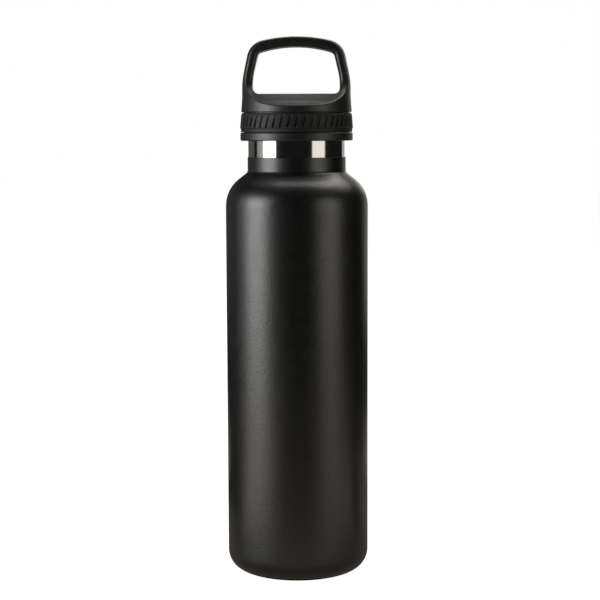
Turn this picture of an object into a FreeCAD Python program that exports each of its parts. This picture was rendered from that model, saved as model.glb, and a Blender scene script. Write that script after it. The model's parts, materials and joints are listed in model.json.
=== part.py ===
"""Insulated 0.6 litre drinking bottle with a screw lid and a rigid carry loop.

Millimetres. The origin is the centre of the plane that the foot rests on, +Z runs up the
bottle's axis, the carry loop spans X, and fingers go through it along Y.
Every turned or drawn piece is an outline in the (radius, height) half plane, revolved about Z.
A point of an outline is (x, z), or (x, z, corner_radius) where the corner is rounded.
"""
import FreeCAD
import Part
import math
import os

from FreeCAD import Placement, Rotation, Vector

ORIGIN = Vector(0, 0, 0)
AXIS = Vector(0, 0, 1)
FULL_TURN = 360.0

# Steel vessel: two drawn walls with a vacuum between them
SHEET = 0.4
BODY_R = 36.5
FOOT_CORNER_R = 10.0
SHELL_SEAM_Z = 11.8
SHOULDER_R = 17.15
CONE_TILT = math.radians(52.5)
COLLAR_R = 25.15
COLLAR_FOOT_Z = 207.1
COLLAR_CREASE_R = 2.5
COLLAR_TOP_Z = 214.74
VACUUM_GAP = 3.0
NECK_R = COLLAR_R - SHEET
MOUTH_Z = 235.0
LIP_R = 0.55
LIP_OUTER_R = 24.85

# Underside of the shell: foot ring, recess and evacuation dimple
FOOT_INNER_R = 24.0
RECESS_R = 23.0
RECESS_Z = 2.4
PRESS_R = 0.8
DIMPLE_R = 5.6
DIMPLE_FLOOR_R = 4.4
DIMPLE_Z = 4.0
EVACUATION_HOLE_R = 1.2
COVER_R = 21.8
COVER_THICKNESS = 0.5
BEAD_R = 3.2
BEAD_HEIGHT = 1.1

# Liner floor, foil and getter
LINER_R = BODY_R - SHEET - VACUUM_GAP
LINER_FLOOR_Z = 10.0
LINER_CORNER_R = 8.0
LINER_SEAM_Z = 22.0
FOIL = 0.1
FOIL_TOP_Z = 184.0
GETTER_R = 4.0
GETTER_HEIGHT = 2.4
CLIP_SHEET = 0.3
CLIP_FLANGE_R = 6.4
CLIP_WINDOW_R = 2.6

# Screw thread: two starts, right hand
THREAD_LEAD = 9.0
THREAD_STARTS = 2
NECK_CREST_R = 25.7
NECK_RIDGE_Z = 229.8
NECK_RIDGE_BASE = 2.0
NECK_RIDGE_CREST = 1.0
NECK_RIDGE_TURN = 270.0
LID_CREST_R = 25.05
LID_RIDGE_DROP = 1.72
LID_RIDGE_BASE = 1.7
LID_RIDGE_CREST = 0.9
LID_RIDGE_TURN = 240.0
RIDGE_ROOT = 0.2
RIDGE_RAMP = 30.0
RIDGE_END_FULLNESS = 0.25
RIDGE_STEP = 15.0

# Lid: threaded collar with its lower ring, grip ring and plug
LID_BOTTOM_Z = 223.07
LOWER_RING_R = 28.75
LOWER_RING_TOP_Z = 227.25
LOWER_RING_EDGE = 0.7
BORE_R = 25.95
BORE_LEAD_IN = 0.8
COLLAR_WALL_R = 27.0
CAP_SEAT_Z = 237.5
SPIGOT_R = 26.3
PLATE_BOTTOM_Z = 236.8
PLATE_TOP_Z = 239.4
PLUG_R = 22.7
PLUG_WALL = 1.5
PLUG_BOTTOM_Z = 219.0
PLUG_CORNER_R = 2.5
PLUG_FLANGE_R = 24.6
PLUG_FLANGE = 1.2
PLUG_FIT = 0.1
GASKET_INNER_R = 23.0
GASKET_OUTER_R = 25.65
GASKET_GAP = 0.1

# Grip ring: conical band with slanted grooves
GRIP_INNER_R = 27.05
GRIP_BOTTOM_Z = 227.4
GRIP_TOP_Z = 237.15
GRIP_LOW_BAND_R = 28.5
GRIP_STEP_Z = 229.1
GRIP_WIDE_R = 28.9
GRIP_WIDE_Z = 229.6
GRIP_NARROW_R = 28.35
GRIP_NARROW_Z = 236.0
GRIP_TOP_R = 27.9
GRIP_EDGE = 0.3
GRIP_TOP_EDGE = 0.6
GROOVES = 48
GROOVE_WIDTH = 1.35
GROOVE_LENGTH = 6.3
GROOVE_FLOOR_R = 28.0
GROOVE_MID_Z = 232.85
GROOVE_SLANT = 17.0

# Loop cap, seen along Y: tapering sides and a crowned top
CAP_TOP_Z = 275.78
CAP_CROWN = (8.8, CAP_TOP_Z, 75.0)
CAP_SHOULDER = (23.74, 272.32, 10.0)
CAP_HIP = (27.7, 253.7, 40.0)
CAP_WAIST = (27.7, 245.3, 60.0)
CAP_SKIRT_R = 28.3

# Finger opening of the loop, seen along Y
OPENING_TOP_Z = 270.55
OPENING_CROWN = (8.95, OPENING_TOP_Z, 60.0)
OPENING_SHOULDER = (19.28, 267.5, 2.8)
OPENING_HIP = (22.35, 254.71, 35.0)
OPENING_FLOOR = (22.35, 246.66, 3.6)
OPENING_ROUND = 1.8

# Loop cap, seen along X: flat loop that flares down to the round skirt
LOOP_HALF_DEPTH = 8.5
FLARE_TOP = (LOOP_HALF_DEPTH, 249.57, 12.0)
FLARE_FOOT = (22.04, 241.85, 20.0)
FLARE_RIM = (29.3, 240.74)
LOOP_ROUND = 1.2
SKIRT_ROUND = 0.4
CUT_MARGIN = 1.0
SHARP_ANGLE = math.radians(15)

# Hollow underneath the cap, and the foam in it
CAP_WALL = 1.7
CAVITY_R = 26.4
CAVITY_RIM_Z = 239.45
CAVITY_FLAT_R = 12.5
FOAM_GAP = 0.3


# ---------------------------------------------------------------- outlines

def corner_arc(before, corner, after):
    """Start, middle and end of the arc that rounds a corner given as (x, z, radius)."""
    tip = Vector(corner[0], 0, corner[1])
    back = (Vector(before[0], 0, before[1]) - tip).normalize()
    ahead = (Vector(after[0], 0, after[1]) - tip).normalize()
    half_angle = back.getAngle(ahead) / 2
    reach = corner[2] / math.tan(half_angle)
    bisector = (back + ahead).normalize()
    to_middle = corner[2] / math.sin(half_angle) - corner[2]
    return tip + back * reach, tip + bisector * to_middle, tip + ahead * reach


def closed_face(points):
    """Face in the XZ plane with the given corners, rounded where a corner has a radius."""
    edges = []
    first = None
    last = None
    for index, point in enumerate(points):
        if len(point) == 3:
            before = points[index - 1]
            after = points[(index + 1) % len(points)]
            start, middle, end = corner_arc(before, point, after)
        else:
            start = end = Vector(point[0], 0, point[1])
        if last is not None and last.distanceToPoint(start) > 1e-6:
            edges.append(Part.LineSegment(last, start).toShape())
        if len(point) == 3:
            edges.append(Part.Arc(start, middle, end).toShape())
        first = first or start
        last = end
    if last.distanceToPoint(first) > 1e-6:
        edges.append(Part.LineSegment(last, first).toShape())
    return Part.Face(Part.Wire(edges))


def turned(points):
    """Solid of revolution about Z."""
    return closed_face(points).revolve(ORIGIN, AXIS, FULL_TURN)


def offset_line(start, end, distance):
    """The line from start to end, moved to its left, as a point and a direction."""
    run = Vector(end[0] - start[0], 0, end[1] - start[1]).normalize()
    left = Vector(-run.z, 0, run.x)
    return Vector(start[0], 0, start[1]) + left * distance, run


def offset_path(path, distance):
    """An open path moved to its left, with its corner radii kept concentric."""
    lines = [offset_line(path[i], path[i + 1], distance) for i in range(len(path) - 1)]
    moved = [(lines[0][0].x, lines[0][0].z)]
    for (base, run), (next_base, next_run), corner in zip(lines, lines[1:], path[1:-1]):
        turn = run.x * next_run.z - run.z * next_run.x
        gap = next_base - base
        along = (gap.x * next_run.z - gap.z * next_run.x) / turn
        tip = base + run * along
        if len(corner) == 3:
            moved.append((tip.x, tip.z, corner[2] - math.copysign(distance, turn)))
        else:
            moved.append((tip.x, tip.z))
    base, run = lines[-1]
    length = math.dist(path[-2][:2], path[-1][:2])
    last = Vector(path[-1][0], 0, path[-1][1]) + Vector(-run.z, 0, run.x) * distance
    moved.append((last.x, last.z))
    return moved


def drawn_sheet(path, thickness=SHEET):
    """Sheet metal turned about Z: a path up the outside, and its offset on the inside."""
    return turned(path + offset_path(path, thickness)[::-1])


def disc(radius, bottom, top):
    """Plain cylinder on the axis."""
    return Part.makeCylinder(radius, top - bottom, Vector(0, 0, bottom))


def tube(inner, outer, bottom, top):
    """Plain ring on the axis."""
    return disc(outer, bottom, top).cut(disc(inner, bottom, top))


# ---------------------------------------------------------------- screw thread

def ridge_section(angle, z, root_r, crest_r, base, crest):
    """Trapezoid of a thread ridge at one angle, in the plane that holds the axis."""
    corners = [
        (root_r, z - base / 2),
        (crest_r, z - crest / 2),
        (crest_r, z + crest / 2),
        (root_r, z + base / 2),
    ]
    turn = math.radians(angle)
    ring = [Vector(r * math.cos(turn), r * math.sin(turn), height) for r, height in corners]
    return Part.makePolygon(ring + ring[:1])


def ridge(start_angle, sweep, mid_z, root_r, crest_r, base, crest):
    """One start of a right-hand thread, with ends that run out into the wall."""
    wires = []
    for index in range(round(sweep / RIDGE_STEP) + 1):
        angle = index * RIDGE_STEP
        ramp = min(1.0, angle / RIDGE_RAMP, (sweep - angle) / RIDGE_RAMP)
        height = RIDGE_END_FULLNESS + (1 - RIDGE_END_FULLNESS) * ramp
        z = mid_z + THREAD_LEAD * (angle - sweep / 2) / FULL_TURN
        tip_r = root_r + (crest_r - root_r) * height
        wires.append(ridge_section(start_angle + angle, z, root_r, tip_r, base * height, crest * height))
    return Part.makeLoft(wires, True, False)


def thread(first_angle, sweep, mid_z, root_r, crest_r, base, crest):
    """All starts of a thread."""
    pitch_angle = FULL_TURN / THREAD_STARTS
    return [ridge(first_angle + start * pitch_angle, sweep, mid_z, root_r, crest_r, base, crest)
            for start in range(THREAD_STARTS)]


# ---------------------------------------------------------------- vessel

def cone_z(radius, drop=0.0):
    """Height of the shoulder cone at a radius, on a surface that lies drop inside it."""
    return COLLAR_FOOT_Z + (COLLAR_R - radius) / math.tan(CONE_TILT) - drop / math.sin(CONE_TILT)


def outer_shell():
    """Body tube, shoulder and neck collar, drawn in one."""
    return drawn_sheet([
        (BODY_R, SHELL_SEAM_Z),
        (BODY_R, cone_z(BODY_R), SHOULDER_R),
        (COLLAR_R, COLLAR_FOOT_Z, COLLAR_CREASE_R),
        (COLLAR_R, COLLAR_TOP_Z),
    ])


def outer_bottom():
    """Pressed cup with the foot ring, the recess and the evacuation dimple."""
    return drawn_sheet([
        (EVACUATION_HOLE_R, DIMPLE_Z),
        (DIMPLE_FLOOR_R, DIMPLE_Z, PRESS_R),
        (DIMPLE_R, RECESS_Z, PRESS_R),
        (RECESS_R, RECESS_Z, PRESS_R),
        (FOOT_INNER_R, 0, PRESS_R),
        (BODY_R, 0, FOOT_CORNER_R),
        (BODY_R, SHELL_SEAM_Z),
    ])


def base_cover():
    """Thin disc glued into the recess."""
    return disc(COVER_R, RECESS_Z - COVER_THICKNESS, RECESS_Z)


def vacuum_seal():
    """Glass bead that closes the evacuation hole."""
    hole_stem = disc(EVACUATION_HOLE_R, DIMPLE_Z, DIMPLE_Z + SHEET)
    bead = turned([
        (0, DIMPLE_Z - BEAD_HEIGHT),
        (BEAD_R, DIMPLE_Z - BEAD_HEIGHT, BEAD_HEIGHT / 2),
        (BEAD_R, DIMPLE_Z),
        (0, DIMPLE_Z),
    ])
    return bead.fuse(hole_stem).removeSplitter()


def liner():
    """Inner wall: tube, shoulder and the bare neck with its rolled lip and thread."""
    depth = SHEET + VACUUM_GAP
    wall = drawn_sheet([
        (LINER_R, LINER_SEAM_Z),
        (LINER_R, cone_z(LINER_R, depth), SHOULDER_R - depth),
        (NECK_R, cone_z(NECK_R, depth), COLLAR_CREASE_R),
        (NECK_R, MOUTH_Z - LIP_R),
    ])
    lip = Part.makeTorus(LIP_OUTER_R - LIP_R, LIP_R, Vector(0, 0, MOUTH_Z - LIP_R), AXIS)
    ridges = thread(0, NECK_RIDGE_TURN, NECK_RIDGE_Z, NECK_R - RIDGE_ROOT, NECK_CREST_R,
                    NECK_RIDGE_BASE, NECK_RIDGE_CREST)
    return wall.multiFuse([lip] + ridges)


def liner_bottom():
    """Pressed cup that closes the liner."""
    return drawn_sheet([
        (0, LINER_FLOOR_Z),
        (LINER_R, LINER_FLOOR_Z, LINER_CORNER_R),
        (LINER_R, LINER_SEAM_Z),
    ])


def copper_foil():
    """Radiation foil wrapped round the liner."""
    return tube(LINER_R, LINER_R + FOIL, LINER_SEAM_Z, FOIL_TOP_Z)


def getter_clip():
    """Flanged cup, spot welded under the liner's floor, open below so the getter sees the vacuum."""
    floor_z = LINER_FLOOR_Z - GETTER_HEIGHT - CLIP_SHEET
    return drawn_sheet([
        (CLIP_WINDOW_R, floor_z),
        (GETTER_R + CLIP_SHEET, floor_z),
        (GETTER_R + CLIP_SHEET, LINER_FLOOR_Z - CLIP_SHEET),
        (CLIP_FLANGE_R, LINER_FLOOR_Z - CLIP_SHEET),
    ], CLIP_SHEET)


def getter_pellet():
    """Sintered pellet inside the clip."""
    return disc(GETTER_R, LINER_FLOOR_Z - GETTER_HEIGHT, LINER_FLOOR_Z)


# ---------------------------------------------------------------- lid

def mouth_gasket():
    """Flat silicone ring between the mouth lip and the lid's plate."""
    bottom = MOUTH_Z + GASKET_GAP
    top = PLATE_BOTTOM_Z - GASKET_GAP
    return tube(GASKET_INNER_R, GASKET_OUTER_R, bottom, top)


def threaded_collar():
    """Lid body: smooth lower ring, threaded wall and the plate that holds plug and cap."""
    body = turned([
        (BORE_R + BORE_LEAD_IN / 2, LID_BOTTOM_Z),
        (LOWER_RING_R, LID_BOTTOM_Z, LOWER_RING_EDGE),
        (LOWER_RING_R, LOWER_RING_TOP_Z, LOWER_RING_EDGE),
        (COLLAR_WALL_R, LOWER_RING_TOP_Z),
        (COLLAR_WALL_R, CAP_SEAT_Z),
        (SPIGOT_R, CAP_SEAT_Z),
        (SPIGOT_R, PLATE_TOP_Z),
        (PLUG_FLANGE_R + PLUG_FIT, PLATE_TOP_Z),
        (PLUG_FLANGE_R + PLUG_FIT, PLATE_TOP_Z - PLUG_FLANGE),
        (PLUG_R + PLUG_FIT, PLATE_TOP_Z - PLUG_FLANGE),
        (PLUG_R + PLUG_FIT, PLATE_BOTTOM_Z),
        (BORE_R, PLATE_BOTTOM_Z),
        (BORE_R, LID_BOTTOM_Z + BORE_LEAD_IN),
    ])
    # The lid's ridges bear on the undersides of the neck's ridges when it is screwed down.
    shorter_turn = (NECK_RIDGE_TURN - LID_RIDGE_TURN) / 2
    mid_z = NECK_RIDGE_Z - LID_RIDGE_DROP - THREAD_LEAD * shorter_turn / FULL_TURN
    ridges = thread(0, LID_RIDGE_TURN, mid_z, BORE_R + RIDGE_ROOT, LID_CREST_R,
                    LID_RIDGE_BASE, LID_RIDGE_CREST)
    return body.multiFuse(ridges)


def plug_shell():
    """Hollow plug that hangs into the neck from its flange."""
    return turned([
        (0, PLUG_BOTTOM_Z),
        (PLUG_R, PLUG_BOTTOM_Z, PLUG_CORNER_R),
        (PLUG_R, PLATE_TOP_Z - PLUG_FLANGE),
        (PLUG_FLANGE_R, PLATE_TOP_Z - PLUG_FLANGE),
        (PLUG_FLANGE_R, PLATE_TOP_Z),
        (PLUG_R - PLUG_WALL, PLATE_TOP_Z),
        (PLUG_R - PLUG_WALL, PLUG_BOTTOM_Z + PLUG_WALL, PLUG_CORNER_R - PLUG_WALL),
        (0, PLUG_BOTTOM_Z + PLUG_WALL),
    ])


def groove_cutter():
    """Slanted slot with round ends, standing at the front of the ring and cut radially."""
    half_run = (GROOVE_LENGTH - GROOVE_WIDTH) / 2
    radius = GROOVE_WIDTH / 2
    corners = [(-radius, -half_run), (radius, -half_run), (radius, half_run), (-radius, half_run)]
    low_left, low_right, high_right, high_left = [Vector(x, 0, z) for x, z in corners]
    rim = Part.Wire([
        Part.Arc(low_left, Vector(0, 0, -half_run - radius), low_right).toShape(),
        Part.LineSegment(low_right, high_right).toShape(),
        Part.Arc(high_right, Vector(0, 0, half_run + radius), high_left).toShape(),
        Part.LineSegment(high_left, low_left).toShape(),
    ])
    slot = Part.Face(rim).extrude(Vector(0, -(GRIP_WIDE_R - GROOVE_FLOOR_R) * 2, 0))
    tilt = Rotation(Vector(0, 1, 0), GROOVE_SLANT)
    slot.Placement = Placement(Vector(0, -GROOVE_FLOOR_R, GROOVE_MID_Z), tilt)
    return slot


def grip_ring():
    """Soft ring with a plain lower band and a conical band of slanted grooves."""
    blank = turned([
        (GRIP_INNER_R, GRIP_BOTTOM_Z),
        (GRIP_LOW_BAND_R, GRIP_BOTTOM_Z, GRIP_EDGE),
        (GRIP_LOW_BAND_R, GRIP_STEP_Z),
        (GRIP_WIDE_R, GRIP_WIDE_Z, GRIP_EDGE),
        (GRIP_NARROW_R, GRIP_NARROW_Z, GRIP_TOP_EDGE),
        (GRIP_TOP_R, GRIP_TOP_Z),
        (GRIP_INNER_R, GRIP_TOP_Z),
    ])
    cutters = []
    for index in range(GROOVES):
        cutter = groove_cutter()
        cutter.rotate(ORIGIN, AXIS, FULL_TURN * index / GROOVES)
        cutters.append(cutter)
    return blank.cut(cutters)


def mirrored_outline(half):
    """Closed outline from its right half, which runs from the top centre to the bottom centre."""
    left = [(-point[0],) + tuple(point[1:]) for point in half[::-1] if point[0] > 0]
    return half + left


def prism_along_y(outline):
    """Prism through the whole lid along Y, from an outline seen along Y."""
    prism = closed_face(outline).extrude(Vector(0, 4 * CAP_SKIRT_R, 0))
    prism.translate(Vector(0, -2 * CAP_SKIRT_R, 0))
    return prism


def face_normal(face, point):
    """Outward normal of a face at a point on it."""
    return face.normalAt(*face.Surface.parameter(point))


def sharp_edges(solid, above):
    """Edges that lie above a height and whose two faces meet at an angle."""
    chosen = []
    for edge in solid.Edges:
        faces = solid.ancestorsOfType(edge, Part.Face)
        middle = edge.valueAt((edge.FirstParameter + edge.LastParameter) / 2)
        if len(faces) < 2 or middle.z < above:
            continue
        if face_normal(faces[0], middle).getAngle(face_normal(faces[1], middle)) > SHARP_ANGLE:
            chosen.append(edge)
    return chosen


def loop_blank():
    """Turned cap body, cut to the side profile: flat loop above, round skirt below."""
    bulk = turned([
        (0, CAP_TOP_Z),
        CAP_CROWN,
        CAP_SHOULDER,
        CAP_HIP,
        CAP_WAIST,
        (CAP_SKIRT_R, CAP_SEAT_Z, SKIRT_ROUND),
        (0, CAP_SEAT_Z),
    ])
    flare = prism_along_y(mirrored_outline([
        (LOOP_HALF_DEPTH, CAP_TOP_Z + CUT_MARGIN),
        FLARE_TOP,
        FLARE_FOOT,
        FLARE_RIM,
        (FLARE_RIM[0], CAP_SEAT_Z - CUT_MARGIN),
    ]))
    flare.rotate(ORIGIN, AXIS, 90)
    return bulk.common(flare)


def loop_cap():
    """Lid top with the rigid carry loop, hollow underneath."""
    blank = loop_blank()
    blank = blank.makeFillet(LOOP_ROUND, sharp_edges(blank, CAP_SEAT_Z + LOOP_ROUND))
    opening = prism_along_y(mirrored_outline([
        OPENING_CROWN,
        OPENING_SHOULDER,
        OPENING_HIP,
        OPENING_FLOOR,
    ]))
    loop = blank.cut(opening)
    loop = loop.makeFillet(OPENING_ROUND, sharp_edges(loop, CAP_SEAT_Z + LOOP_ROUND))
    hollow = turned([
        (0, OPENING_FLOOR[1] - CAP_WALL),
        (CAVITY_FLAT_R, OPENING_FLOOR[1] - CAP_WALL),
        (FLARE_FOOT[0], FLARE_FOOT[1] - CAP_WALL),
        (CAVITY_R, CAVITY_RIM_Z),
        (CAVITY_R, CAP_SEAT_Z),
        (0, CAP_SEAT_Z),
    ])
    return loop.cut(hollow)


def lid_foam():
    """Moulded foam that fills the plug and the hollow of the cap."""
    foam_r = PLUG_R - PLUG_WALL - FOAM_GAP
    return turned([
        (0, PLUG_BOTTOM_Z + PLUG_WALL + FOAM_GAP),
        (foam_r, PLUG_BOTTOM_Z + PLUG_WALL + FOAM_GAP, PLUG_CORNER_R),
        (foam_r, FLARE_FOOT[1] - CAP_WALL),
        (CAVITY_FLAT_R, OPENING_FLOOR[1] - CAP_WALL - FOAM_GAP),
        (0, OPENING_FLOOR[1] - CAP_WALL - FOAM_GAP),
    ])


PIECES = [
    outer_shell, outer_bottom, base_cover, vacuum_seal,
    liner, liner_bottom, copper_foil, getter_clip, getter_pellet,
    mouth_gasket, threaded_collar, plug_shell, lid_foam, grip_ring, loop_cap,
]

os.makedirs("parts", exist_ok=True)
for piece in PIECES:
    solid = piece()
    print("%-16s valid %s, solids %d, volume %.1f mm3" % (
        piece.__name__, solid.isValid(), len(solid.Solids), solid.Volume))
    solid.exportStep("parts/" + piece.__name__ + ".step")
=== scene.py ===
"""Insulated drinking bottle: looks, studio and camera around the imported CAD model. Metres, radians.

Turned pieces are outlines in the (radius, height) half plane, in millimetres, spun about Z.
A corner of an outline is (radius, height), or (radius, height, corner_radius) where it is rounded.
"""
import json
import math

import bmesh
import bpy
from mathutils import Matrix, Vector

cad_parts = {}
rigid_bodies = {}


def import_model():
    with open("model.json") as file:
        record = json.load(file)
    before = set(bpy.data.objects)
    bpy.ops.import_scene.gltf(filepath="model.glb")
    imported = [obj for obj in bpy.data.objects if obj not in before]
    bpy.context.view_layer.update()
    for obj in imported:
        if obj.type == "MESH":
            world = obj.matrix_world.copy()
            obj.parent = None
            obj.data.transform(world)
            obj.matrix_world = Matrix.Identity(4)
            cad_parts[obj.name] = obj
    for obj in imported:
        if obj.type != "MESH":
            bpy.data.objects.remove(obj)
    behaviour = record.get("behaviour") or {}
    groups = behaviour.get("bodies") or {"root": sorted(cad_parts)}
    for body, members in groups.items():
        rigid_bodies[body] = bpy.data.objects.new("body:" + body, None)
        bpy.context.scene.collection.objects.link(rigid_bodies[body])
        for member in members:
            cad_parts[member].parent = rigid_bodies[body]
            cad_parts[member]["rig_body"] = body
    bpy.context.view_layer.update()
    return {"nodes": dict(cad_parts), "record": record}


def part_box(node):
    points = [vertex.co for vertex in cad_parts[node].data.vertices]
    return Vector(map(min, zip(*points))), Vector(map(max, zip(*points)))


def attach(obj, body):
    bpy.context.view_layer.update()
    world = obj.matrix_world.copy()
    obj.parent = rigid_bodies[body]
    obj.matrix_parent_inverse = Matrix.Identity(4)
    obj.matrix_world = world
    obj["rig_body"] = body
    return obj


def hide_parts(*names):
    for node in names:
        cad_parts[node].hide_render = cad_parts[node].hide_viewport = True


MM = 0.001
FULL_TURN = 2 * math.pi
# The bottle's front faces -Y
FRONT = -FULL_TURN / 4
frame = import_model()


def span(node):
    """Outer radius, bottom and top of a turned CAD node, in millimetres."""
    low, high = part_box(node)
    return high.x / MM, low.z / MM, high.z / MM


# Places that the frame gives
BODY_R, SHELL_SEAM_Z, COLLAR_TOP_Z = span("outer_shell")
COVER_R, COVER_Z, RECESS_Z = span("base_cover")
LINER_R, LINER_SEAM_Z, MOUTH_Z = span("liner")
LINER_FLOOR_Z = span("liner_bottom")[1]
GASKET_R, GASKET_BOTTOM_Z, GASKET_TOP_Z = span("mouth_gasket")
RING_R, LID_BOTTOM_Z, PLATE_TOP_Z = span("threaded_collar")
FLANGE_R, PLUG_BOTTOM_Z, FLANGE_TOP_Z = span("plug_shell")
GRIP_R, GRIP_BOTTOM_Z, GRIP_TOP_Z = span("grip_ring")
CAP_SEAT_Z = span("loop_cap")[1]

# Steel vessel, in millimetres
SHEET = 0.4
FOOT_CORNER_R = 10.0
FOOT_INNER_R = 24.0
RECESS_R = 23.0
PRESS_R = 0.8
DIMPLE_R = 5.6
DIMPLE_FLOOR_R = 4.4
DIMPLE_Z = 4.0
EVACUATION_HOLE_R = 1.2
SHOULDER_R = 17.15
CONE_TILT = math.radians(52.5)
COLLAR_R = 25.15
COLLAR_FOOT_Z = 207.1
CREASE_R = 2.5
NECK_R = COLLAR_R - SHEET
LIP_R = 0.55
LIP_OUTER_R = 24.85
LINER_CORNER_R = 8.0

# Screw thread: two starts, right hand
THREAD_LEAD = 9.0
THREAD_STARTS = 2
RIDGE_RAMP = math.radians(30)
NECK_RIDGE = {"mid_z": 229.8, "sweep": math.radians(270), "base": 2.0, "crest": 1.0}
NECK_RIDGE_HEIGHT = 0.95
LID_RIDGE = {"mid_z": 227.705, "sweep": math.radians(240), "base": 1.7, "crest": 0.9}
LID_RIDGE_HEIGHT = 0.9
THREAD_STEP = 0.2

# Lid, in millimetres
BORE_R = 25.95
BORE_LEAD_IN = 0.8
RING_TOP_Z = 227.25
RING_EDGE = 0.7
COLLAR_WALL_R = 27.0
SPIGOT_R = 26.3
PLATE_BOTTOM_Z = 236.8
PLUG_R = 22.7
PLUG_WALL = 1.5
PLUG_CORNER_R = 2.5
FLANGE = 1.2
PLUG_FIT = 0.1
GASKET_INNER_R = 23.0
GRIP_INNER_R = 27.05
GRIP_LOW_BAND_R = 28.5
GRIP_STEP_Z = 229.1
GRIP_WIDE_Z = 229.6
GRIP_NARROW_R = 28.35
GRIP_NARROW_Z = 236.0
GRIP_TOP_R = 27.9
GROOVES = 48
GROOVE_PITCH = FULL_TURN / GROOVES
GROOVE_WIDTH = 1.35
GROOVE_LENGTH = 6.3
GROOVE_FLOOR_R = 28.0
GROOVE_MID_Z = 232.85
GROOVE_SLANT = math.radians(17)
GROOVE_EDGE = 0.16

# Mesh density and tolerances, in millimetres and radians
COLUMNS = 192
THREAD_COLUMNS = 288
ARC_STEP = math.radians(9)
LONGEST_RUN = 5.0
SHARP = math.radians(38)
ON_AXIS_R = 1e-6
SAME_R = 0.01

# Camera: a long lens a little above the lid's foot, looking slightly down.
# Its place is in metres, the sensor and the lens are in millimetres.
CAMERA_DISTANCE = 0.81075
CAMERA_HEIGHT = 0.22848
CAMERA_PITCH = math.radians(6.163)
CAMERA_YAW = math.radians(-0.101)
CAMERA_ROLL = math.radians(-0.21)
SENSOR = 36.0
LENS = 94.455
CAMERA_NEAR = 0.01


# ---------------------------------------------------------------- outlines

def arc(centre, radius, first, last):
    """Points of an arc between two angles."""
    steps = max(2, math.ceil(abs(last - first) / ARC_STEP))
    turns = [first + (last - first) * step / steps for step in range(steps + 1)]
    return [centre + Vector((math.cos(turn), math.sin(turn))) * radius for turn in turns]


def rounded(corners, closed=True):
    """Points of an outline, with each rounded corner as an arc."""
    points = []
    for index, corner in enumerate(corners):
        tip = Vector(corner[:2])
        if len(corner) == 2 or (not closed and index in (0, len(corners) - 1)):
            points.append(tip)
            continue
        back = (Vector(corners[index - 1][:2]) - tip).normalized()
        ahead = (Vector(corners[(index + 1) % len(corners)][:2]) - tip).normalized()
        half = back.angle(ahead) / 2
        reach = corner[2] / math.tan(half)
        centre = tip + (back + ahead).normalized() * corner[2] / math.sin(half)
        first = tip + back * reach - centre
        last = tip + ahead * reach - centre
        steps = max(2, math.ceil(first.angle(last) / ARC_STEP))
        points += [centre + first.slerp(last, step / steps).normalized() * corner[2]
                   for step in range(steps + 1)]
    return points


def shifted(points, distance):
    """An open path, moved to its left."""
    moved = []
    for index, here in enumerate(points):
        before = points[max(index - 1, 0)]
        after = points[min(index + 1, len(points) - 1)]
        run = (after - before).normalized()
        moved.append(here + Vector((-run.y, run.x)) * distance)
    return moved


def sheet(path, cap=()):
    """Outline of sheet metal: a path up its outer side, what caps its end, and the way back inside."""
    return path + list(cap) + shifted(path, SHEET)[::-1]


def split(points, closed):
    """The outline with its long runs divided."""
    finer = []
    ends = points[1:] + (points[:1] if closed else [])
    for start, end in zip(points, ends):
        pieces = max(1, math.ceil((end - start).length / LONGEST_RUN))
        finer += [start.lerp(end, piece / pieces) for piece in range(pieces)]
    return finer if closed else finer + points[-1:]


def smooth_step(value):
    """0 to 1 with soft ends."""
    value = min(1.0, max(0.0, value))
    return value * value * (3 - 2 * value)


# ---------------------------------------------------------------- meshes

def even_turns(count):
    """Angles of evenly spaced columns."""
    return [FULL_TURN * column / count for column in range(count)]


def spin(name, points, turns=None, shape=None):
    """Grid of quads round the axis. shape(turn, radius, z) gives a point's new angle and radius."""
    turns = turns or even_turns(COLUMNS)
    on_axis = points[0].x < ON_AXIS_R
    vertices = []
    rows = []
    for point in split(points, closed=not on_axis):
        if point.x < ON_AXIS_R:
            rows.append([len(vertices)] * len(turns))
            vertices.append((0, 0, point.y * MM))
            continue
        rows.append(list(range(len(vertices), len(vertices) + len(turns))))
        for turn in turns:
            angle, radius = shape(turn, point.x, point.y) if shape else (turn, point.x)
            vertices.append((math.cos(angle) * radius * MM, math.sin(angle) * radius * MM, point.y * MM))
    faces = []
    for lower, upper in zip(rows, rows[1:] + ([] if on_axis else rows[:1])):
        for column in range(len(turns)):
            beside = (column + 1) % len(turns)
            ring = [lower[column], lower[beside], upper[beside], upper[column]]
            faces.append(list(dict.fromkeys(ring)))
    mesh = bpy.data.meshes.new(name)
    mesh.from_pydata(vertices, [], faces)
    grid = bmesh.new()
    grid.from_mesh(mesh)
    bmesh.ops.recalc_face_normals(grid, faces=grid.faces)
    grid.to_mesh(mesh)
    grid.free()
    mesh.shade_smooth()
    mesh.set_sharp_from_angle(angle=SHARP)
    piece = bpy.data.objects.new(name, mesh)
    bpy.context.scene.collection.objects.link(piece)
    piece.modifiers.new("even_shading", "WEIGHTED_NORMAL").keep_sharp = True
    return piece


def cone_z(radius, drop=0.0):
    """Height of the shoulder cone at a radius, on a surface that lies drop inside it."""
    return COLLAR_FOOT_Z + (COLLAR_R - radius) / math.tan(CONE_TILT) - drop / math.sin(CONE_TILT)


def coated_shell():
    """Body tube, shoulder and neck collar, with a rounded rim where the coat ends."""
    rim_z = COLLAR_TOP_Z - SHEET / 2
    path = rounded([
        (BODY_R, SHELL_SEAM_Z),
        (BODY_R, cone_z(BODY_R), SHOULDER_R),
        (COLLAR_R, COLLAR_FOOT_Z, CREASE_R),
        (COLLAR_R, rim_z),
    ], closed=False)
    rim = arc(Vector((COLLAR_R - SHEET / 2, rim_z)), SHEET / 2, 0, math.pi)[1:-1]
    return spin("coated_shell", sheet(path, rim))


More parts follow.
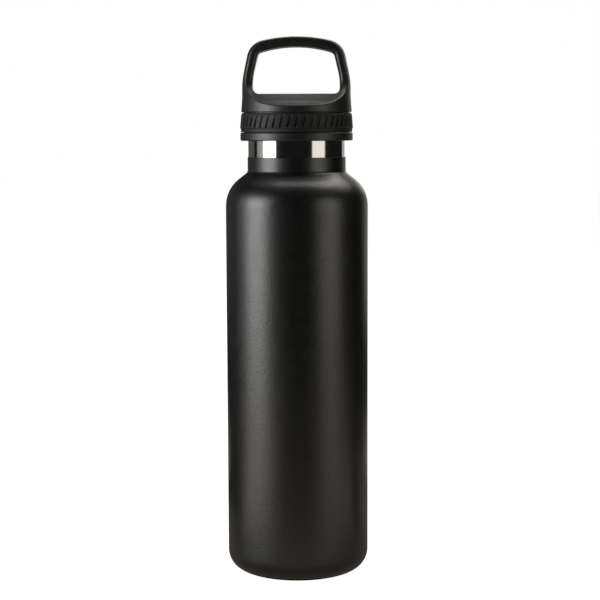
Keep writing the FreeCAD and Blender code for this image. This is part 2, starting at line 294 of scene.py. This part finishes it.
def coated_base():
    """Pressed cup with the foot ring, the recess and the evacuation dimple."""
    path = rounded([
        (EVACUATION_HOLE_R, DIMPLE_Z),
        (DIMPLE_FLOOR_R, DIMPLE_Z, PRESS_R),
        (DIMPLE_R, RECESS_Z, PRESS_R),
        (RECESS_R, RECESS_Z, PRESS_R),
        (FOOT_INNER_R, 0, PRESS_R),
        (BODY_R, 0, FOOT_CORNER_R),
        (BODY_R, SHELL_SEAM_Z),
    ], closed=False)
    return spin("coated_base", sheet(path))


def cover_disc():
    """Cover in the recess, with a pressed ring and a soft edge."""
    press = 0.2
    press_inner_r = COVER_R * 0.62
    press_outer_r = COVER_R * 0.65
    return spin("cover_disc", rounded([
        (0, COVER_Z + press),
        (press_inner_r, COVER_Z + press, 0.6),
        (press_outer_r, COVER_Z, 0.4),
        (COVER_R, COVER_Z, press),
        (COVER_R, RECESS_Z),
        (0, RECESS_Z),
    ], closed=False))


def thread_height(turn, z, mid_z, sweep, base, crest):
    """How full a two-start thread's ridge is at a point, from 0 to 1."""
    height = 0.0
    for start in range(THREAD_STARTS):
        along = (turn - start * FULL_TURN / THREAD_STARTS) % FULL_TURN
        if along < sweep:
            ramp = smooth_step(min(along, sweep - along) / RIDGE_RAMP)
            centre = mid_z + THREAD_LEAD * (along - sweep / 2) / FULL_TURN
            flank = (abs(z - centre) - crest / 2) / ((base - crest) / 2)
            height = max(height, ramp * (1 - smooth_step(flank)))
    return height


def fine_wall(radius, bottom, top):
    """Points up a wall, close enough together to carry the thread."""
    steps = math.ceil((top - bottom) / THREAD_STEP)
    return [(radius, bottom + (top - bottom) * step / steps) for step in range(steps + 1)]


def steel_liner():
    """Inner wall: tube, shoulder and bare neck, with its thread and lip rolled into the sheet."""
    depth = BODY_R - LINER_R
    lip = Vector((LIP_OUTER_R - LIP_R, MOUTH_Z - LIP_R))
    outside = -math.acos((NECK_R - lip.x) / LIP_R)
    inside = FULL_TURN - math.acos((NECK_R - SHEET - lip.x) / LIP_R)
    neck_top = lip.y + LIP_R * math.sin(outside)
    thread_foot = NECK_RIDGE["mid_z"] - THREAD_LEAD / 2
    path = rounded([
        (LINER_R, LINER_SEAM_Z),
        (LINER_R, cone_z(LINER_R, depth), SHOULDER_R - depth),
        (NECK_R, cone_z(NECK_R, depth), CREASE_R),
    ] + fine_wall(NECK_R, thread_foot, neck_top), closed=False)
    roll = arc(lip, LIP_R, outside, inside)[1:-1]

    def shape(turn, radius, z):
        if not thread_foot < z < neck_top or radius < NECK_R - 2 * SHEET:
            return turn, radius
        return turn, radius + NECK_RIDGE_HEIGHT * thread_height(turn, z, **NECK_RIDGE)

    return spin("steel_liner", sheet(path, roll), even_turns(THREAD_COLUMNS), shape)


def liner_cup():
    """Pressed cup that closes the liner."""
    path = rounded([
        (0, LINER_FLOOR_Z),
        (LINER_R, LINER_FLOOR_Z, LINER_CORNER_R),
        (LINER_R, LINER_SEAM_Z),
    ], closed=False)
    return spin("liner_cup", sheet(path))


def seal_ring():
    """Silicone ring with a channel in its underside."""
    edge = 0.35
    channel_r = (GASKET_INNER_R + GASKET_R) / 2
    channel_z = GASKET_BOTTOM_Z + 0.35
    mouth_half = 0.5
    floor_half = 0.2
    return spin("seal_ring", rounded([
        (GASKET_INNER_R, GASKET_BOTTOM_Z, edge),
        (channel_r - mouth_half, GASKET_BOTTOM_Z, 0.2),
        (channel_r - floor_half, channel_z, 0.1),
        (channel_r + floor_half, channel_z, 0.1),
        (channel_r + mouth_half, GASKET_BOTTOM_Z, 0.2),
        (GASKET_R, GASKET_BOTTOM_Z, edge),
        (GASKET_R, GASKET_TOP_Z, edge),
        (GASKET_INNER_R, GASKET_TOP_Z, edge),
    ]))


def lid_body():
    """Lower ring, threaded wall and plate of the lid."""
    edge = 0.2
    hole_r = PLUG_R + PLUG_FIT
    seat_r = FLANGE_R + PLUG_FIT
    seat_z = PLATE_TOP_Z - FLANGE
    thread_top = LID_RIDGE["mid_z"] + THREAD_LEAD / 2
    bore = fine_wall(BORE_R, LID_BOTTOM_Z + BORE_LEAD_IN, thread_top)
    outline = rounded([
        (BORE_R + BORE_LEAD_IN / 2, LID_BOTTOM_Z, edge),
        (RING_R, LID_BOTTOM_Z, RING_EDGE),
        (RING_R, RING_TOP_Z, RING_EDGE),
        (COLLAR_WALL_R, RING_TOP_Z),
        (COLLAR_WALL_R, CAP_SEAT_Z),
        (SPIGOT_R, CAP_SEAT_Z),
        (SPIGOT_R, PLATE_TOP_Z, edge),
        (seat_r, PLATE_TOP_Z),
        (seat_r, seat_z),
        (hole_r, seat_z),
        (hole_r, PLATE_BOTTOM_Z, edge),
        (BORE_R, PLATE_BOTTOM_Z, edge),
    ] + bore[::-1])

    def shape(turn, radius, z):
        if abs(radius - BORE_R) > SAME_R or z > thread_top:
            return turn, radius
        return turn, radius - LID_RIDGE_HEIGHT * thread_height(turn, z, **LID_RIDGE)

    return spin("lid_body", outline, even_turns(THREAD_COLUMNS), shape)


def lid_plug():
    """Hollow plug with a shallow dish in its underside."""
    dish = 0.5
    dish_r = PLUG_R * 0.66
    hollow_r = PLUG_R - PLUG_WALL
    hollow_z = PLUG_BOTTOM_Z + PLUG_WALL
    flange_z = FLANGE_TOP_Z - FLANGE
    return spin("lid_plug", rounded([
        (0, PLUG_BOTTOM_Z + dish),
        (dish_r, PLUG_BOTTOM_Z + dish, 1.0),
        (dish_r + dish * 2, PLUG_BOTTOM_Z, 1.0),
        (PLUG_R, PLUG_BOTTOM_Z, PLUG_CORNER_R),
        (PLUG_R, flange_z),
        (FLANGE_R, flange_z),
        (FLANGE_R, FLANGE_TOP_Z, 0.2),
        (hollow_r, FLANGE_TOP_Z, 0.2),
        (hollow_r, hollow_z, PLUG_CORNER_R - PLUG_WALL),
        (0, hollow_z),
    ], closed=False))


def groove_columns():
    """Angles of the grip ring's columns: close together at each groove's sides, wide on its ribs."""
    half = GROOVE_WIDTH / 2 / math.cos(GROOVE_SLANT)
    rib = GROOVE_PITCH * GRIP_R / 2
    between = (half + GROOVE_EDGE + rib) / 2
    side = [-half - GROOVE_EDGE, -half - GROOVE_EDGE / 3, -half + GROOVE_EDGE / 3, -half + GROOVE_EDGE]
    left = [-between] + side + [-half / 3]
    offsets = [-rib] + left + [-offset for offset in left[::-1]]
    return [(groove + offset / (2 * rib)) * GROOVE_PITCH + FRONT
            for groove in range(GROOVES) for offset in offsets]


def ribbed_grip():
    """Soft ring: a plain low band, and a conical band with slanted, round-ended grooves."""
    zone_low = GRIP_WIDE_Z
    zone_high = GRIP_NARROW_Z
    half_run = (GROOVE_LENGTH - GROOVE_WIDTH) / 2
    row_count = 30
    rows = [zone_low + (zone_high - zone_low) * row / row_count for row in range(1, row_count)]
    cone = (GRIP_R - GRIP_NARROW_R) / (zone_high - zone_low)
    ribs = [(GRIP_R - cone * (z - zone_low), z) for z in rows]
    outline = rounded([
        (GRIP_INNER_R, GRIP_BOTTOM_Z),
        (GRIP_LOW_BAND_R, GRIP_BOTTOM_Z, 0.3),
        (GRIP_LOW_BAND_R, GRIP_STEP_Z, 0.2),
        (GRIP_R, zone_low, 0.15),
    ] + ribs + [
        (GRIP_NARROW_R, zone_high, 0.15),
        (GRIP_TOP_R, GRIP_TOP_Z, 0.2),
        (GRIP_INNER_R, GRIP_TOP_Z),
    ])

    def shape(turn, radius, z):
        rise = min(max(z, zone_low), zone_high) - GROOVE_MID_Z
        angle = turn + rise * math.tan(GROOVE_SLANT) / GRIP_R
        if radius < GROOVE_FLOOR_R or not zone_low < z < zone_high:
            return angle, radius
        beside = ((turn - FRONT + GROOVE_PITCH / 2) % GROOVE_PITCH - GROOVE_PITCH / 2) * GRIP_R
        across = beside * math.cos(GROOVE_SLANT)
        along = rise / math.cos(GROOVE_SLANT) + beside * math.sin(GROOVE_SLANT)
        gap = math.hypot(across, max(0.0, abs(along) - half_run)) - GROOVE_WIDTH / 2
        depth = smooth_step(0.5 - gap / (2 * GROOVE_EDGE))
        return angle, radius + (GROOVE_FLOOR_R - radius) * depth

    return spin("ribbed_grip", outline, groove_columns(), shape)


# ---------------------------------------------------------------- node helpers

class Shader:
    """A material's node tree, with short ways to add the nodes that the finishes share."""

    def __init__(self, name):
        self.material = bpy.data.materials.new(name)
        self.material.use_nodes = True
        self.tree = self.material.node_tree
        self.surface = self.tree.nodes["Principled BSDF"]

    def set(self, **sockets):
        """Sets sockets of the surface, with _ for a space in their names."""
        for name, value in sockets.items():
            self.surface.inputs[name.replace("_", " ")].default_value = value

    def join(self, output, name):
        """Feeds a socket of the surface."""
        self.tree.links.new(output, self.surface.inputs[name])

    def node(self, kind, **inputs):
        """A new node, with its input sockets set or fed."""
        node = self.tree.nodes.new(kind)
        for name, value in inputs.items():
            socket = node.inputs[name.replace("_", " ")]
            if isinstance(value, bpy.types.NodeSocket):
                self.tree.links.new(value, socket)
            else:
                socket.default_value = value
        return node

    def place(self, stretch=(1, 1, 1)):
        """The piece's own coordinates in metres, stretched."""
        own = self.node("ShaderNodeTexCoord").outputs["Object"]
        return self.node("ShaderNodeMapping", Vector=own, Scale=stretch).outputs["Vector"]

    def noise(self, scale, detail, stretch=(1, 1, 1)):
        """Noise from 0 to 1, with scale in features per metre."""
        node = self.node("ShaderNodeTexNoise", Vector=self.place(stretch), Scale=scale, Detail=detail)
        return node.outputs["Fac"]

    def cells(self, scale):
        """Distance to the nearest cell point, with scale in cells per metre."""
        return self.node("ShaderNodeTexVoronoi", Vector=self.place(), Scale=scale).outputs["Distance"]

    def remap(self, value, out_low, out_high, low=0.3, high=0.7):
        """Straight map of a value from low and high, a noise's usual range, held at its ends."""
        node = self.node("ShaderNodeMapRange", Value=value, From_Min=low, From_Max=high,
                         To_Min=out_low, To_Max=out_high)
        return node.outputs["Result"]

    def tint(self, value, low, high):
        """Colour between two, by a value from 0 to 1."""
        ramp = self.node("ShaderNodeValToRGB", Fac=value)
        ramp.color_ramp.elements[0].color = low + (1,)
        ramp.color_ramp.elements[1].color = high + (1,)
        return ramp.outputs["Color"]

    def bump(self, height, depth, below=None):
        """Bump of a height from 0 to 1 that stands for depth metres."""
        inputs = {"Height": height, "Distance": depth}
        if below:
            inputs["Normal"] = below
        return self.node("ShaderNodeBump", **inputs).outputs["Normal"]


# ---------------------------------------------------------------- finishes

def powder_coat():
    """Black powder coat: satin, with a fine grain over a soft orange peel."""
    shader = Shader("black_powder_coat")
    shader.set(Specular_IOR_Level=1.0)
    speckle = shader.remap(shader.noise(1500, 3), 0, 1, low=0.35, high=0.65)
    shader.join(shader.tint(speckle, (0.0006, 0.0006, 0.0006), (0.0014, 0.0014, 0.0014)), "Base Color")
    peel = shader.bump(shader.noise(900, 2), 0.06 * MM)
    grain = shader.bump(shader.noise(2400, 2), 0.02 * MM, peel)
    shader.join(grain, "Normal")
    shader.join(shader.remap(shader.noise(160, 2), 0.33, 0.37), "Roughness")
    return shader.material


def bare_steel():
    """Polished stainless steel with faint turning marks round the axis."""
    shader = Shader("polished_steel")
    shader.set(Base_Color=(0.62, 0.60, 0.57, 1), Metallic=1.0)
    marks = shader.noise(60, 4, stretch=(1, 1, 120))
    shader.join(shader.remap(marks, 0.07, 0.13), "Roughness")
    shader.join(shader.bump(marks, 0.001 * MM), "Normal")
    return shader.material


def lid_plastic():
    """Black polypropylene with a fine spark-eroded texture."""
    shader = Shader("black_polypropylene")
    shader.set(Base_Color=(0.0045, 0.0045, 0.0047, 1), Specular_IOR_Level=0.9)
    grain = shader.noise(3200, 3)
    shader.join(shader.bump(grain, 0.012 * MM), "Normal")
    shader.join(shader.remap(shader.noise(220, 3), 0.40, 0.46), "Roughness")
    return shader.material


def grip_rubber():
    """Black thermoplastic rubber, duller than the cap."""
    shader = Shader("black_rubber")
    shader.set(Base_Color=(0.006, 0.006, 0.0062, 1), Specular_IOR_Level=0.6)
    grain = shader.noise(2600, 3)
    shader.join(shader.bump(grain, 0.015 * MM), "Normal")
    shader.join(shader.remap(shader.noise(300, 2), 0.56, 0.64), "Roughness")
    return shader.material


def silicone():
    """Milky grey silicone."""
    shader = Shader("grey_silicone")
    shader.set(Roughness=0.5, Subsurface_Weight=0.15, Subsurface_Radius=(0.001, 0.001, 0.001))
    shader.join(shader.tint(shader.noise(400, 2), (0.50, 0.51, 0.52), (0.60, 0.61, 0.62)), "Base Color")
    shader.join(shader.bump(shader.noise(3000, 2), 0.008 * MM), "Normal")
    return shader.material


def seal_glass():
    """Fused sealing glass, green grey with small flow waves."""
    shader = Shader("sealing_glass")
    shader.set(Base_Color=(0.35, 0.40, 0.38, 1), Roughness=0.08, Coat_Weight=0.4)
    shader.join(shader.bump(shader.noise(900, 2), 0.03 * MM), "Normal")
    return shader.material


def foil():
    """Bright copper foil with shallow wrapping creases."""
    shader = Shader("copper_foil")
    shader.set(Base_Color=(0.72, 0.43, 0.30, 1), Metallic=1.0, Roughness=0.22)
    shader.join(shader.bump(shader.noise(140, 5, stretch=(1, 1, 0.4)), 0.25 * MM), "Normal")
    return shader.material


def getter():
    """Sintered getter: dark grey grains pressed together."""
    shader = Shader("sintered_getter")
    shader.set(Metallic=0.6, Roughness=0.7)
    grains = shader.cells(3500)
    shader.join(shader.tint(grains, (0.10, 0.10, 0.10), (0.24, 0.24, 0.23)), "Base Color")
    shader.join(shader.bump(grains, 0.06 * MM), "Normal")
    return shader.material


def foam():
    """Off-white moulded foam with closed cells."""
    shader = Shader("moulded_foam")
    shader.set(Roughness=0.85, Specular_IOR_Level=0.3)
    beads = shader.cells(900)
    shader.join(shader.tint(beads, (0.86, 0.85, 0.81), (0.72, 0.70, 0.65)), "Base Color")
    shader.join(shader.bump(beads, 0.15 * MM), "Normal")
    return shader.material


FINISHES = {
    "powder_coat": powder_coat,
    "bare_steel": bare_steel,
    "lid_plastic": lid_plastic,
    "grip_rubber": grip_rubber,
    "silicone": silicone,
    "seal_glass": seal_glass,
    "foil": foil,
    "getter": getter,
    "foam": foam,
}

# The pieces that stand for CAD nodes. The nodes that aren't named here stay as they are.
STAND_INS = {
    "outer_shell": coated_shell,
    "outer_bottom": coated_base,
    "base_cover": cover_disc,
    "liner": steel_liner,
    "liner_bottom": liner_cup,
    "mouth_gasket": seal_ring,
    "threaded_collar": lid_body,
    "plug_shell": lid_plug,
    "grip_ring": ribbed_grip,
}


def dress():
    """Gives every CAD node, or the piece that stands for it, its finish."""
    finishes = {slot: make() for slot, make in FINISHES.items()}
    for entry in frame["record"]["subparts"]:
        name = entry["node"]
        node = frame["nodes"][name]
        slot = entry["material_slot"]
        if name in STAND_INS:
            piece = STAND_INS[name]()
            piece.data.materials.append(finishes[slot])
            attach(piece, node["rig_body"])
            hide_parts(name)
        else:
            node.material_slots[0].material = finishes[slot]


# ---------------------------------------------------------------- studio

# Colours of the light
NEUTRAL = (1, 1, 1)
CREAM = (1, 0.975, 0.90)
WARM = (1, 0.94, 0.80)

# Heights of the boxes overhead and of the floor's bounce, and half the floor's side, in metres
CEILING = 1.0
BOUNCE_HEIGHT = 0.002
FLOOR_REACH = 6.0

# Strength of the background as the camera sees it and as light on the bottle, and of the floor
BACKDROP = 1.0
ROOM = 0.010
FLOOR_GLOW = 1.0


def soft_box(name, place, aim, size, radiance, colour):
    """Rectangular light at a place, facing a point. The camera doesn't see it."""
    data = bpy.data.lights.new(name, "AREA")
    data.shape = "RECTANGLE"
    data.size, data.size_y = size
    data.energy = radiance * math.pi * size[0] * size[1]
    data.color = colour
    lamp = bpy.data.objects.new(name, data)
    place = Vector(place)
    facing = (Vector(aim) - place).to_track_quat("-Z", "Y").to_matrix().to_4x4()
    lamp.matrix_world = Matrix.Translation(place) @ facing
    lamp.visible_camera = False
    bpy.context.scene.collection.objects.link(lamp)


def around(azimuth, distance, height):
    """Point at an azimuth from the camera's side of the bottle, positive to the camera's right."""
    turn = math.radians(azimuth)
    return math.sin(turn) * distance, -math.cos(turn) * distance, height


def beside(azimuth, distance, height, size, radiance, colour=NEUTRAL):
    """A box that stands round the bottle and faces its axis."""
    return around(azimuth, distance, height), (0, 0, height), size, radiance, colour


def over(x, y, size, radiance, colour=NEUTRAL):
    """A box overhead that faces down."""
    return (x, y, CEILING), (x, y, 0), size, radiance, colour


def under(x, y, size, radiance):
    """Warm light that the floor throws back up."""
    return (x, y, BOUNCE_HEIGHT), (x, y, CEILING), size, radiance, WARM


# Every light of the studio: its place in degrees and metres, its size in metres, its radiance and colour
RIG = {
    "left_low": beside(-68, 0.9, 0.11, (0.56, 0.20), 4.3),
    "left_high": beside(-68, 0.9, 0.41, (0.56, 0.40), 5.0),
    "left_fade": beside(-92, 0.9, 0.31, (0.16, 0.60), 0.45),
    "left_faint": beside(-102, 0.9, 0.31, (0.16, 0.60), 0.35),
    "right_box": beside(53, 0.9, 0.31, (0.53, 0.60), 1.25, CREAM),
    "top_far_left": over(-0.45, 0.15, (0.3, 0.6), 0.35),
    "top_left_front": over(-0.15, 0.0, (0.3, 0.3), 2.0),
    "top_left_back": over(-0.15, 0.6, (0.3, 0.6), 4.6),
    "top_middle_front": over(0.15, 0.0, (0.3, 0.3), 2.0),
    "top_middle_back": over(0.15, 0.6, (0.3, 0.6), 3.8),
    "top_right": over(0.45, 0.35, (0.3, 0.9), 3.4, CREAM),
    "top_far_right": over(0.8, 0.5, (0.4, 0.7), 1.8, CREAM),
    "back_right": beside(150, 1.1, 0.15, (0.5, 0.3), 0.5, CREAM),
    "back_right_high": beside(160, 1.1, 0.45, (0.5, 0.3), 1.2, CREAM),
    "back_edge": beside(171, 1.1, 0.2, (0.3, 0.4), 1.4, CREAM),
    "back_left": beside(-140, 1.1, 0.3, (0.8, 0.6), 0.1, CREAM),
    "floor_left": under(-0.25, -0.15, (0.25, 0.3), 0.9),
    "floor_middle_left": under(-0.55, -0.25, (0.35, 0.5), 0.3),
    "floor_right": under(0.25, -0.15, (0.25, 0.3), 0.5),
    "floor_middle_right": under(0.55, -0.25, (0.35, 0.5), 0.15),
    "floor_far_front": under(0, -0.55, (0.7, 0.4), 0.04),
    "floor_close": under(0, 0, (0.25, 0.25), 0.15),
    "floor_behind_right": under(0.2, 0.2, (0.2, 0.3), 0.2),
    "floor_front": under(0, -0.2, (0.25, 0.3), 0.15),
    "floor_far_left": under(-0.9, -0.6, (0.4, 0.8), 1.0),
    "floor_back": under(0, 0.55, (0.4, 0.7), 0.4),
}


def backdrop():
    """World that the camera sees bright, and that lights the bottle only a little."""
    world = bpy.data.worlds.new("studio")
    bpy.context.scene.world = world
    world.use_nodes = True
    tree = world.node_tree
    background = tree.nodes["Background"]
    background.inputs["Color"].default_value = (1, 1, 1, 1)
    seen = tree.nodes.new("ShaderNodeLightPath")
    strength = tree.nodes.new("ShaderNodeMapRange")
    strength.inputs["To Min"].default_value = ROOM
    strength.inputs["To Max"].default_value = BACKDROP
    tree.links.new(seen.outputs["Is Camera Ray"], strength.inputs["Value"])
    tree.links.new(strength.outputs["Result"], background.inputs["Strength"])


def plain_floor():
    """Pale floor, as bright as the background. It shows only to the camera."""
    mesh = bpy.data.meshes.new("floor")
    corners = [(-FLOOR_REACH, -FLOOR_REACH, 0), (FLOOR_REACH, -FLOOR_REACH, 0),
               (FLOOR_REACH, FLOOR_REACH, 0), (-FLOOR_REACH, FLOOR_REACH, 0)]
    mesh.from_pydata(corners, [], [(0, 1, 2, 3)])
    floor = bpy.data.objects.new("floor", mesh)
    bpy.context.scene.collection.objects.link(floor)
    shader = Shader("floor")
    shader.set(Base_Color=(0.3, 0.3, 0.3, 1), Roughness=0.9, Specular_IOR_Level=0.0,
               Emission_Color=(1, 1, 1, 1), Emission_Strength=FLOOR_GLOW)
    mesh.materials.append(shader.material)
    floor.visible_glossy = False
    floor.visible_diffuse = False


def studio():
    """Bright background, the lights of the rig and the floor."""
    bpy.context.scene.view_settings.view_transform = "Standard"
    backdrop()
    for name, light in RIG.items():
        soft_box(name, *light)
    plain_floor()


def camera():
    """The camera, from its distance, height, pitch, yaw and roll."""
    data = bpy.data.cameras.new("camera")
    data.sensor_width = SENSOR
    data.lens = LENS
    data.clip_start = CAMERA_NEAR
    lens = bpy.data.objects.new("camera", data)
    bpy.context.scene.collection.objects.link(lens)
    lens.matrix_world = (
        Matrix.Translation((0, -CAMERA_DISTANCE, CAMERA_HEIGHT))
        @ Matrix.Rotation(CAMERA_YAW, 4, "Z")
        @ Matrix.Rotation(math.pi / 2 - CAMERA_PITCH, 4, "X")
        @ Matrix.Rotation(CAMERA_ROLL, 4, "Z")
    )
    bpy.context.scene.camera = lens


camera()
studio()
dress()
